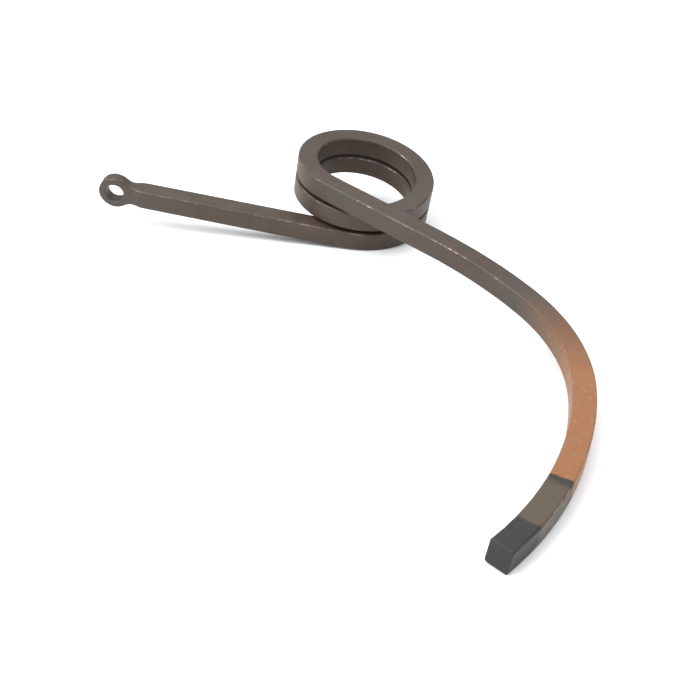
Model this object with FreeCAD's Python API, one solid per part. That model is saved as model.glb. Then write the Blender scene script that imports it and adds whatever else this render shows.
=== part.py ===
import FreeCAD, Part
import os
from math import pi, sin, cos, tan, atan, radians, degrees, hypot, sqrt

V = FreeCAD.Vector

# Cultivator spring tine, bent from one length of square spring bar.  Sizes in millimetres.
# The coil is drawn with its axis along +Z and the arm leaving it along -X; the last step
# lays the finished tine down the way it rests on flat ground.

# bar
bar = 25.0                 # side of the square bar
bar_round = 2.5            # rounding along its four corners
# coil
coil_mean_dia = 156.0      # through the middle of the bar
coil_gap = 4.7             # daylight between one turn and the next
coil_turns = 1.9135        # turns wound before the leg leaves
# arm that is bolted to the frame
arm_length = 310.0         # from the start of the coil to the bolt hole
arm_rise = 0.7             # degrees it climbs towards the coil
arm_blend_radius = 600.0   # easy bend from the arm into the lead of the coil
# forged eye
eye_dia = 42.0
eye_thickness = 17.0
eye_hole_dia = 24.0
eye_hole_chamfer = 1.0
eye_neck_radius = 20.0     # hollow between the eye and the bar
eye_flat_reach = 18.0      # the flats run this far past the hole's middle
eye_taper_length = 22.0    # over which the flats swell back to the full bar
# leg that works the soil
leg_straight = 167.0
leg_plane_tilt = 2.75      # degrees the plane of the leg's bends is rolled
shoulder_radius = 505.0
shoulder_angle = 16.2
knee_radius = 232.0
knee_angle = 42.8
shin_radius = 424.0
shin_angle = 35.5
tip_bevel = 3.0            # the sheared end reaches this much further along its under side
tip_round = 1.0            # wear round the end face

coil_radius = coil_mean_dia / 2
lead = bar + coil_gap
lead_angle = atan(lead / (pi * coil_mean_dia))


class Station:
    """A point on the middle of the bar: forward, inward and upward directions."""

    def __init__(self, p, t, n, b):
        self.p, self.t, self.n, self.b = p, t, n, b

    def moved(self, placement):
        r = placement.Rotation
        return Station(placement.multVec(self.p), r.multVec(self.t),
                       r.multVec(self.n), r.multVec(self.b))


def bar_section(side, r):
    h, k = side / 2, r * (1 - sqrt(0.5))
    edges = []
    for quarter in range(4):
        c, s = round(cos(quarter * pi / 2)), round(sin(quarter * pi / 2))

        def spin(x, y):
            return V(c * x - s * y, s * x + c * y, 0)
        edges.append(Part.makeLine(spin(h, r - h), spin(h, h - r)))
        edges.append(Part.Arc(spin(h, h - r), spin(h - k, h - k), spin(h - r, h)).toShape())
    return Part.Wire(edges)


def axes_to(station):
    # local x becomes inward, y upward and z forward
    n, b, t, p = station.n, station.b, station.t, station.p
    return FreeCAD.Matrix(n.x, b.x, t.x, p.x, n.y, b.y, t.y, p.y, n.z, b.z, t.z, p.z, 0, 0, 0, 1)


def section_at(station):
    return bar_section(bar, bar_round).transformed(axes_to(station))


def straight(station, length):
    face = Part.Face(section_at(station))
    body = face.extrude(station.t * length)
    return body, Station(station.p + station.t * length, station.t, station.n, station.b)


def bend(station, radius, angle, towards):
    # turns the bar through angle degrees about a centre that lies in the direction towards
    centre = station.p + towards * radius
    axis = station.t.cross(towards)
    axis.normalize()
    body = Part.Face(section_at(station)).revolve(centre, axis, angle)
    turn = FreeCAD.Placement(V(), FreeCAD.Rotation(axis, angle), centre)
    return body, station.moved(turn)


def coil(station):
    height = lead * coil_turns
    path = Part.makeHelix(lead, height, coil_radius)
    path.rotate(V(), V(0, 0, 1), -90)
    path.translate(V(0, 0, station.p.z))
    pipe = Part.BRepOffsetAPI.MakePipeShell(Part.Wire(path.Edges))
    pipe.setFrenetMode(True)
    pipe.add(section_at(station))
    pipe.build()
    pipe.makeSolid()
    turn = FreeCAD.Placement(V(0, 0, height), FreeCAD.Rotation(V(0, 0, 1), 360 * coil_turns))
    return pipe.shape(), station.moved(turn)


def eye_outline(reach):
    # front view of the eye: a round head, hollow necks, then the bar
    h, r, f = bar / 2, eye_dia / 2, eye_neck_radius
    cz = h + f
    cx = sqrt((r + f) ** 2 - cz ** 2)
    tx, tz = cx * r / (r + f), cz * r / (r + f)
    mx, mz = (tx - cx) + 0.0, (tz - cz) + (h - cz)
    m = f / hypot(mx, mz)
    mx, mz = cx + mx * m, cz + mz * m
    low = [Part.makeLine(V(reach, 0, -h), V(cx, 0, -h)),
           Part.Arc(V(cx, 0, -h), V(mx, 0, -mz), V(tx, 0, -tz)).toShape()]
    head = [Part.Arc(V(tx, 0, -tz), V(-r, 0, 0), V(tx, 0, tz)).toShape()]
    high = [Part.Arc(V(tx, 0, tz), V(mx, 0, mz), V(cx, 0, h)).toShape(),
            Part.makeLine(V(cx, 0, h), V(reach, 0, h)),
            Part.makeLine(V(reach, 0, h), V(reach, 0, -h))]
    return Part.Wire(low + head + high)


def eye_plan(reach):
    # view from above: the flats, swelling in an S to the full bar
    h, g, a, b = bar / 2, eye_thickness / 2, eye_flat_reach, reach
    r = (eye_taper_length ** 2 + (h - g) ** 2) / (4 * (h - g))
    half = atan((h - g) / eye_taper_length)
    mid = V((a + b) / 2, (g + h) / 2, 0)
    q1 = V(a + r * sin(half), g + r * (1 - cos(half)), 0)
    q2 = V(b - r * sin(half), h - r * (1 - cos(half)), 0)
    back = -eye_dia

    def low(v):
        return V(v.x, -v.y, v.z)
    up = [V(back, g, 0), V(a, g, 0), q1, mid, q2, V(b, h, 0)]
    dn = [low(v) for v in up]
    return Part.Wire([
        Part.makeLine(up[0], up[1]), Part.Arc(up[1], up[2], up[3]).toShape(),
        Part.Arc(up[3], up[4], up[5]).toShape(), Part.makeLine(up[5], dn[5]),
        Part.Arc(dn[5], dn[4], dn[3]).toShape(), Part.Arc(dn[3], dn[2], dn[1]).toShape(),
        Part.makeLine(dn[1], dn[0]), Part.makeLine(dn[0], up[0])])


def runs_across(edge):
    if not isinstance(edge.Curve, (Part.Line, Part.LineSegment)):
        return False
    d = edge.valueAt(edge.LastParameter) - edge.valueAt(edge.FirstParameter)
    return abs(d.x) < 0.01


def forged_eye():
    # hole axis along y, bar leaving along +x
    reach = eye_flat_reach + eye_taper_length
    front = Part.Face(eye_outline(reach))
    front.translate(V(0, -bar, 0))
    above = Part.Face(eye_plan(reach))
    above.translate(V(0, 0, -eye_dia))
    blank = front.extrude(V(0, 2 * bar, 0)).common(above.extrude(V(0, 0, 2 * eye_dia)))
    blank = blank.Solids[0]
    rims = [e for e in blank.Edges if not runs_across(e)]
    blank = blank.makeFillet(bar_round, rims)
    r, g, c = eye_hole_dia / 2, eye_thickness / 2, eye_hole_chamfer
    drill = Part.makeCylinder(r, 4 * g, V(0, -2 * g, 0), V(0, 1, 0))
    for side in (-1, 1):
        cone = Part.makeCone(r, r + 2 * c, 2 * c, V(0, side * (g - c), 0), V(0, side, 0))
        drill = drill.fuse(cone)
    return blank.cut(drill), reach


def rest_direction(points, middle):
    # the upright direction, near +Z, for which the centre of mass sits lowest over the ground
    def height(a, b):
        low = min(a * q.x + b * q.y + q.z for q in points)
        return (a * middle.x + b * middle.y + middle.z - low) / sqrt(1 + a * a + b * b)

    def lowest(f, lo, hi):
        for _ in range(34):
            third = (hi - lo) / 3
            if f(lo + third) < f(hi - third):
                hi = hi - third
            else:
                lo = lo + third
        return (lo + hi) / 2

    def best_b(a):
        return lowest(lambda b: height(a, b), -0.45, 0.45)
    a = lowest(lambda a: height(a, best_b(a)), -0.45, 0.45)
    return V(a, best_b(a), 1)


def under_side(points, cell):
    # the lowest point in each cell of a plan grid
    floor = {}
    for q in points:
        key = (int(q.x // cell), int(q.y // cell))
        if key not in floor or q.z < floor[key].z:
            floor[key] = q
    return list(floor.values())


# coil start: the bar runs along +X, inward is +Y
start = Station(V(0, -coil_radius, bar / 2), V(cos(lead_angle), 0, sin(lead_angle)),
                V(0, 1, 0), V(-sin(lead_angle), 0, cos(lead_angle)))

# arm, worked back from the coil
back = Station(start.p, start.t * -1, start.n * -1, start.b)
blend, at_arm = bend(back, arm_blend_radius, degrees(lead_angle) - arm_rise, start.b)
eye, eye_reach = forged_eye()
blend_length = arm_blend_radius * (lead_angle - radians(arm_rise))
arm, at_neck = straight(at_arm, arm_length - blend_length - eye_reach)
eye_middle = at_neck.p + at_neck.t * eye_reach
x, y, z = at_neck.t * -1, at_neck.n * -1, at_neck.b
eye_seat = FreeCAD.Matrix(x.x, y.x, z.x, eye_middle.x, x.y, y.y, z.y, eye_middle.y,
                          x.z, y.z, z.z, eye_middle.z, 0, 0, 0, 1)
eye = eye.transformed(eye_seat)

# coil and leg; the leg's bends turn away from the coil, in a plane rolled a little
winding, leave = coil(start)
thigh, s1 = straight(leave, leg_straight)
roll = FreeCAD.Rotation(s1.t, -leg_plane_tilt)
shoulder, s2 = bend(s1, shoulder_radius, shoulder_angle, roll.multVec(s1.n) * -1)
knee, s3 = bend(s2, knee_radius, knee_angle, FreeCAD.Rotation(s2.t, -leg_plane_tilt).multVec(s2.n) * -1)
shin, s4 = bend(s3, shin_radius, shin_angle, FreeCAD.Rotation(s3.t, -leg_plane_tilt).multVec(s3.n) * -1)

# sheared end
slope = atan(tip_bevel / bar)
shear = Part.makeBox(4 * bar, 4 * bar, 2 * bar, V(-2 * bar, -2 * bar, 0))
shear.rotate(V(), V(1, 0, 0), -degrees(slope))
shear = shear.transformed(axes_to(Station(s4.p - s4.b * (bar / 2), s4.t, s4.n, s4.b)))
shin = shin.cut(shear).Solids[0]
end_face = min(shin.Faces, key=lambda f: (f.CenterOfMass - s4.p).Length)
shin = shin.makeFillet(tip_round, end_face.OuterWire.Edges)

tine = eye.fuse([arm, blend, winding, thigh, shoulder, knee, shin]).removeSplitter()
tine = tine.Solids[0]

# lay it down
cloud = tine.tessellate(0.4)[0]
rough = rest_direction(under_side(cloud, bar / 2), tine.CenterOfMass)
ground = min(rough.dot(q) for q in cloud)
near = [q for q in cloud if rough.dot(q) < ground + bar / 5]
up = rest_direction(near[::1 + len(near) // 1500], tine.CenterOfMass)
turn = FreeCAD.Rotation(up, V(0, 0, 1))
laid = [turn.multVec(q) for q in cloud]
lo = [min(q[i] for q in laid) for i in range(3)]
hi = [max(q[i] for q in laid) for i in range(3)]
drop = V(-(lo[0] + hi[0]) / 2, -(lo[1] + hi[1]) / 2, -lo[2])
pose = FreeCAD.Placement(drop, turn)
tine.Placement = pose.multiply(tine.Placement)

os.makedirs("parts", exist_ok=True)
tine.exportStep("parts/spring_tine.step")

section_area = bar ** 2 - (4 - pi) * bar_round ** 2
print("solids", len(tine.Solids), "valid", tine.isValid(), "volume", round(tine.Volume, 1))
print("bar length from volume", round(tine.Volume / section_area, 1))
print("size", [round(b - a, 2) for a, b in zip(lo, hi)])
print("pose", pose)
print("eye middle", pose.multVec(eye_middle), "hole axis", turn.multVec(y), "arm", turn.multVec(x))
print("coil axis", turn.multVec(V(0, 0, 1)), "coil middle", pose.multVec(V(0, 0, lead)))
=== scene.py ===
from math import radians
import bpy
from mathutils import Matrix, Vector


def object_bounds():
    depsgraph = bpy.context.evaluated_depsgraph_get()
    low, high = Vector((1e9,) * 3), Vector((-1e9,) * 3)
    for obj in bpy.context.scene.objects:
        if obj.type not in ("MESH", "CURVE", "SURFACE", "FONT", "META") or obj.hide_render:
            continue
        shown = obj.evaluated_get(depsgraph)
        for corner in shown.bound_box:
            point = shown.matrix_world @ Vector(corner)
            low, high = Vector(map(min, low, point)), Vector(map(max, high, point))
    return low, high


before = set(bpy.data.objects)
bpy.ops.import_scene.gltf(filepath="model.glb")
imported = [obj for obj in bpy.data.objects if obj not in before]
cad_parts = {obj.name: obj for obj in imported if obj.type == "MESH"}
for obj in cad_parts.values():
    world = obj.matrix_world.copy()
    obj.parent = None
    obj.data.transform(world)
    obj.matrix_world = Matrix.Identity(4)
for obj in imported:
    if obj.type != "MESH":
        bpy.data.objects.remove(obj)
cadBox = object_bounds()
bpy.ops.object.select_all(action="DESELECT")
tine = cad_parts["spring_tine"]
print("frame loaded, box", cadBox)


# small node helpers: a node's output is linked to a socket, and anything else is set on it
def feed(tree, socket, value):
    if hasattr(value, "node"):
        tree.links.new(value, socket)
    else:
        socket.default_value = value


def makeMaterial(name):
    mat = bpy.data.materials.new(name)
    mat.use_nodes = True
    mat.node_tree.nodes.clear()
    return mat, mat.node_tree


def addNode(tree, kind, **inputs):
    node = tree.nodes.new(kind)
    for name, value in inputs.items():
        feed(tree, node.inputs[name.replace("_", " ")], value)
    return node


def showShader(tree, shader):
    out = tree.nodes.new("ShaderNodeOutputMaterial")
    tree.links.new(shader.outputs[0], out.inputs[0])


def mathNode(tree, operation, a, b, c=None, clamp=False):
    node = tree.nodes.new("ShaderNodeMath")
    node.operation, node.use_clamp = operation, clamp
    for socket, value in zip(node.inputs, (a, b, c)):
        if value is not None:
            feed(tree, socket, value)
    return node.outputs[0]


def mixColour(tree, factor, under, over):
    node = tree.nodes.new("ShaderNodeMix")
    node.data_type = "RGBA"
    for index, value in ((0, factor), (6, under), (7, over)):   # the node's colour sockets
        feed(tree, node.inputs[index], (*value, 1.0) if isinstance(value, tuple) else value)
    return node.outputs[2]


def ramp(tree, value, low, high, smooth=True):
    node = tree.nodes.new("ShaderNodeMapRange")
    node.interpolation_type = "SMOOTHSTEP" if smooth else "LINEAR"
    for socket, setting in zip(node.inputs, (value, low, high)):
        feed(tree, socket, setting)
    return node.outputs[0]


def noise(tree, coords, scale, detail, rough, distort):
    node = addNode(tree, "ShaderNodeTexNoise", Vector=coords, Scale=scale, Detail=detail,
                   Roughness=rough, Distortion=distort)
    return node.outputs["Fac"]


def alongLine(tree, coords, direction):
    node = tree.nodes.new("ShaderNodeVectorMath")
    node.operation = "DOT_PRODUCT"
    tree.links.new(coords, node.inputs[0])
    node.inputs[1].default_value = direction
    return node.outputs["Value"]


# the bar's finish, with colours as linear light and places in metres
steel = {
    "scaleBrown": (0.055, 0.034, 0.022), "scaleUmber": (0.037, 0.024, 0.016),
    "scaleGrey": (0.050, 0.041, 0.033), "greyShare": 0.7,
    "copperRust": (0.22, 0.088, 0.030), "copperLight": (0.30, 0.15, 0.065),
    "pitDark": (0.045, 0.022, 0.010), "darkBand": (0.020, 0.016, 0.011),
    "shinBrown": (0.064, 0.045, 0.026), "ochre": (0.10, 0.060, 0.024),
    # the last colour below lightens the corners: partly rubbed metal, partly a painted highlight on
    # the ridges
    "soot": (0.013, 0.011, 0.0095), "wornEdgeAndHighlight": (0.26, 0.20, 0.15),
    # scale, detail, roughness and distortion of each speckle
    "broad": (9.0, 3.0, 0.55, 0.0), "blotch": (42.0, 5.0, 0.62, 0.4),
    "speck": (230.0, 4.0, 0.6, 0.0), "grain": (900.0, 3.0, 0.6, 0.0),
    # how high a speckle stands where a colour starts to show, and where it is full
    "brownOnBlotch": (0.35, 0.68), "greyOnBroad": (0.45, 0.7),
    "lightOnSpeck": (0.55, 0.75), "pitOnBlotch": (0.30, 0.20),
    # where each zone starts and where it is full
    "eyeAt": (0.258, 0.262),                # along -X
    "legAt": (0.17, 0.26),                  # along +X
    "copperAt": (-0.035, 0.10),             # along -Y
    "shinLine": (-0.37, -0.93, 0.0),        # the way the shin runs to the tip
    "darkBandAt": (0.1443, 0.1463), "shinBrownAt": (0.1495, 0.162), "sootAt": (0.2150, 0.2180),
    "edgeSwing": 0.012,                     # how far the blotches move a zone's edge
    "patchCentre": (0.2498, -0.3128, 0.0145), "patchReach": (0.013, 0.004),
    # worn corners, lighter partly from real wear and partly as a painted highlight along the ridges
    "upright": (0.1148, -0.1459, 0.9826),   # the coil's axis as the tine lies
    "holeAxis": (0.0085, 0.9893, 0.1459),
    "wearAndHighlightOnCorner": (0.55, 0.95), "wearAndHighlightOnBlotch": (0.47, 0.62), "wearAndHighlightOnSpeck": (0.38, 0.6),
    "wearAndHighlightShare": 0.85, "sootHidesWearAndHighlight": 0.8,
    "roughness": 0.36, "roughByBlotch": 0.30, "roughByWearAndHighlight": -0.18,
    "metal": 0.12, "metalByWearAndHighlight": 0.5, "specular": 0.5,
    "liftByBlotch": 1.6, "liftBySpeck": 0.55, "liftByGrain": 0.2,
    "bumpStrength": 0.55, "bumpDepth": 0.0005,
}


# bright along the bar's corners, where a normal leans half way between two of its faces
def edgeMask(tree, coords):
    normal = tree.nodes.new("ShaderNodeNewGeometry").outputs["Normal"]
    upright = alongLine(tree, normal, steel["upright"])
    cheek = alongLine(tree, normal, steel["holeAxis"])
    onEye = ramp(tree, alongLine(tree, coords, (-1.0, 0.0, 0.0)), *steel["eyeAt"])
    lean = tree.nodes.new("ShaderNodeMix")
    for socket, value in ((lean.inputs[0], onEye), (lean.inputs[2], upright), (lean.inputs[3], cheek)):
        feed(tree, socket, value)
    square = mathNode(tree, "MULTIPLY", lean.outputs[0], lean.outputs[0])
    corner = mathNode(tree, "MULTIPLY", square, mathNode(tree, "SUBTRACT", 1.0, square))
    return mathNode(tree, "MULTIPLY", corner, 4.0, clamp=True)   # square * (1 - square) peaks at 1/4


def scaleColour(tree, broad, blotch):
    brown = ramp(tree, blotch, *steel["brownOnBlotch"])
    colour = mixColour(tree, brown, steel["scaleUmber"], steel["scaleBrown"])
    grey = mathNode(tree, "MULTIPLY", ramp(tree, broad, *steel["greyOnBroad"]), steel["greyShare"])
    return mixColour(tree, grey, colour, steel["scaleGrey"])


def copperColour(tree, blotch, speck):
    light = ramp(tree, speck, *steel["lightOnSpeck"])
    rust = mixColour(tree, light, steel["copperRust"], steel["copperLight"])
    return mixColour(tree, ramp(tree, blotch, *steel["pitOnBlotch"]), rust, steel["pitDark"])


# rust and soil colours down the leg, one zone after the next
def legColours(tree, coords, colour, blotch, speck):
    swing = mathNode(tree, "MULTIPLY_ADD", blotch, steel["edgeSwing"], -steel["edgeSwing"] / 2)
    shin = mathNode(tree, "ADD", alongLine(tree, coords, steel["shinLine"]), swing)
    onLeg = ramp(tree, alongLine(tree, coords, (1.0, 0.0, 0.0)), *steel["legAt"])
    down = ramp(tree, alongLine(tree, coords, (0.0, -1.0, 0.0)), *steel["copperAt"], smooth=False)
    copper = mathNode(tree, "MULTIPLY", onLeg, down)
    colour = mixColour(tree, copper, colour, copperColour(tree, blotch, speck))
    colour = mixColour(tree, ramp(tree, shin, *steel["darkBandAt"]), colour, steel["darkBand"])
    colour = mixColour(tree, ramp(tree, shin, *steel["shinBrownAt"]), colour, steel["shinBrown"])
    away = tree.nodes.new("ShaderNodeVectorMath")
    away.operation = "DISTANCE"
    tree.links.new(coords, away.inputs[0])
    away.inputs[1].default_value = steel["patchCentre"]
    patch = ramp(tree, mathNode(tree, "ADD", away.outputs["Value"], swing), *steel["patchReach"])
    colour = mixColour(tree, patch, colour, steel["ochre"])
    soot = ramp(tree, shin, *steel["sootAt"])
    return mixColour(tree, soot, colour, steel["soot"]), soot


# corners rubbed bright in broken lines: partly real wear, partly a painted highlight along the ridges
def cornerWearAndHighlight(tree, coords, blotch, speck, soot):
    corner = ramp(tree, edgeMask(tree, coords), *steel["wearAndHighlightOnCorner"])
    wearAndHighlight = mathNode(tree, "MULTIPLY", corner, ramp(tree, blotch, *steel["wearAndHighlightOnBlotch"]))
    wearAndHighlight = mathNode(tree, "MULTIPLY", wearAndHighlight, ramp(tree, speck, *steel["wearAndHighlightOnSpeck"]))
    bare = mathNode(tree, "MULTIPLY_ADD", soot, -steel["sootHidesWearAndHighlight"], 1.0)
    return mathNode(tree, "MULTIPLY", wearAndHighlight, bare)


def surfaceBump(tree, blotch, speck, grain):
    height = mathNode(tree, "MULTIPLY", grain, steel["liftByGrain"])
    height = mathNode(tree, "MULTIPLY_ADD", speck, steel["liftBySpeck"], height)
    height = mathNode(tree, "MULTIPLY_ADD", blotch, steel["liftByBlotch"], height)
    bump = addNode(tree, "ShaderNodeBump", Strength=steel["bumpStrength"],
                   Distance=steel["bumpDepth"], Height=height)
    return bump.outputs[0]


def finishSteel():
    mat, tree = makeMaterial("oxidisedSpringSteel")
    coords = tree.nodes.new("ShaderNodeTexCoord").outputs["Object"]
    broad, blotch, speck, grain = (
        noise(tree, coords, *steel[name]) for name in ("broad", "blotch", "speck", "grain"))
    colour = scaleColour(tree, broad, blotch)
    colour, soot = legColours(tree, coords, colour, blotch, speck)
    wearAndHighlight = cornerWearAndHighlight(tree, coords, blotch, speck, soot)
    share = mathNode(tree, "MULTIPLY", wearAndHighlight, steel["wearAndHighlightShare"])
    # lighten the corners: partly real wear, partly a painted highlight along the ridges
    colour = mixColour(tree, share, colour, steel["wornEdgeAndHighlight"])
    rough = mathNode(tree, "MULTIPLY_ADD", blotch, steel["roughByBlotch"], steel["roughness"])
    rough = mathNode(tree, "MULTIPLY_ADD", wearAndHighlight, steel["roughByWearAndHighlight"], rough)
    metal = mathNode(tree, "MULTIPLY_ADD", wearAndHighlight, steel["metalByWearAndHighlight"], steel["metal"], clamp=True)
    shader = addNode(tree, "ShaderNodeBsdfPrincipled", Base_Color=colour, Roughness=rough,
                     Metallic=metal, Normal=surfaceBump(tree, blotch, speck, grain))
    shader.inputs["Specular IOR Level"].default_value = steel["specular"]
    showShader(tree, shader)
    return mat


steelMaterial = finishSteel()
for slotItem in tine.material_slots:
    slotItem.material = steelMaterial
print("steel finish on the bar")

# floor, lights and sky
studio = {
    "floorSize": 14.0, "floorColour": (0.86, 0.86, 0.855), "floorRoughness": 0.9,
    "floorDrop": 0.0002,                    # keeps the floor just clear of the tine
    "keyAt": (-1.7, -0.9, 2.3), "keySize": 2.2, "keyWatts": 95.0,
    "fillAt": (2.2, -1.6, 1.7), "fillSize": 2.4, "fillWatts": 28.0,
    "topAt": (0.0, 0.5, 3.0), "topSize": 3.0, "topWatts": 60.0,
    "lightAim": (0.0, 0.0, 0.05),
    "skyColour": (0.93, 0.96, 1.0), "skyStrength": 0.85,
}


def layFloor():
    bpy.ops.object.select_all(action="DESELECT")
    height = cadBox[0][2] - studio["floorDrop"]
    bpy.ops.mesh.primitive_plane_add(size=studio["floorSize"], location=(0, 0, height))
    floor = bpy.context.active_object
    floor.name = "floor"
    mat, tree = makeMaterial("paleFloor")
    shader = addNode(tree, "ShaderNodeBsdfPrincipled", Base_Color=(*studio["floorColour"], 1.0),
                     Roughness=studio["floorRoughness"])
    showShader(tree, shader)
    floor.data.materials.append(mat)


def hangLight(name):
    at = Vector(studio[name + "At"])
    bpy.ops.object.light_add(type="AREA", location=at)
    lamp = bpy.context.active_object
    lamp.name = name + "Light"
    lamp.data.size, lamp.data.energy = studio[name + "Size"], studio[name + "Watts"]
    lamp.rotation_euler = (Vector(studio["lightAim"]) - at).to_track_quat("-Z", "Y").to_euler()


def lightSky():
    world = bpy.data.worlds.new("softSky")
    bpy.context.scene.world = world
    world.use_nodes = True
    back = world.node_tree.nodes["Background"]
    back.inputs[0].default_value = (*studio["skyColour"], 1.0)
    back.inputs[1].default_value = studio["skyStrength"]


layFloor()
for lightName in ("key", "fill", "top"):
    hangLight(lightName)
lightSky()

view = {
    "eye": (0.1565, -1.1150, 0.6701), "aim": (0.0500, -0.0431, 0.0), "rollDeg": 3.46,
    "lens": 59.14, "sensor": 36.0,          # millimetres
}


def setCamera():
    bpy.ops.object.camera_add(location=view["eye"])
    cam = bpy.context.active_object
    look = (Vector(view["aim"]) - Vector(view["eye"])).to_track_quat("-Z", "Y")
    roll = Matrix.Rotation(radians(view["rollDeg"]), 3, "Z")
    cam.rotation_euler = (look.to_matrix() @ roll).to_euler()
    cam.data.lens, cam.data.sensor_width = view["lens"], view["sensor"]
    bpy.context.scene.camera = cam


setCamera()
bpy.context.scene.view_settings.view_transform = "Standard"
print("studio ready")
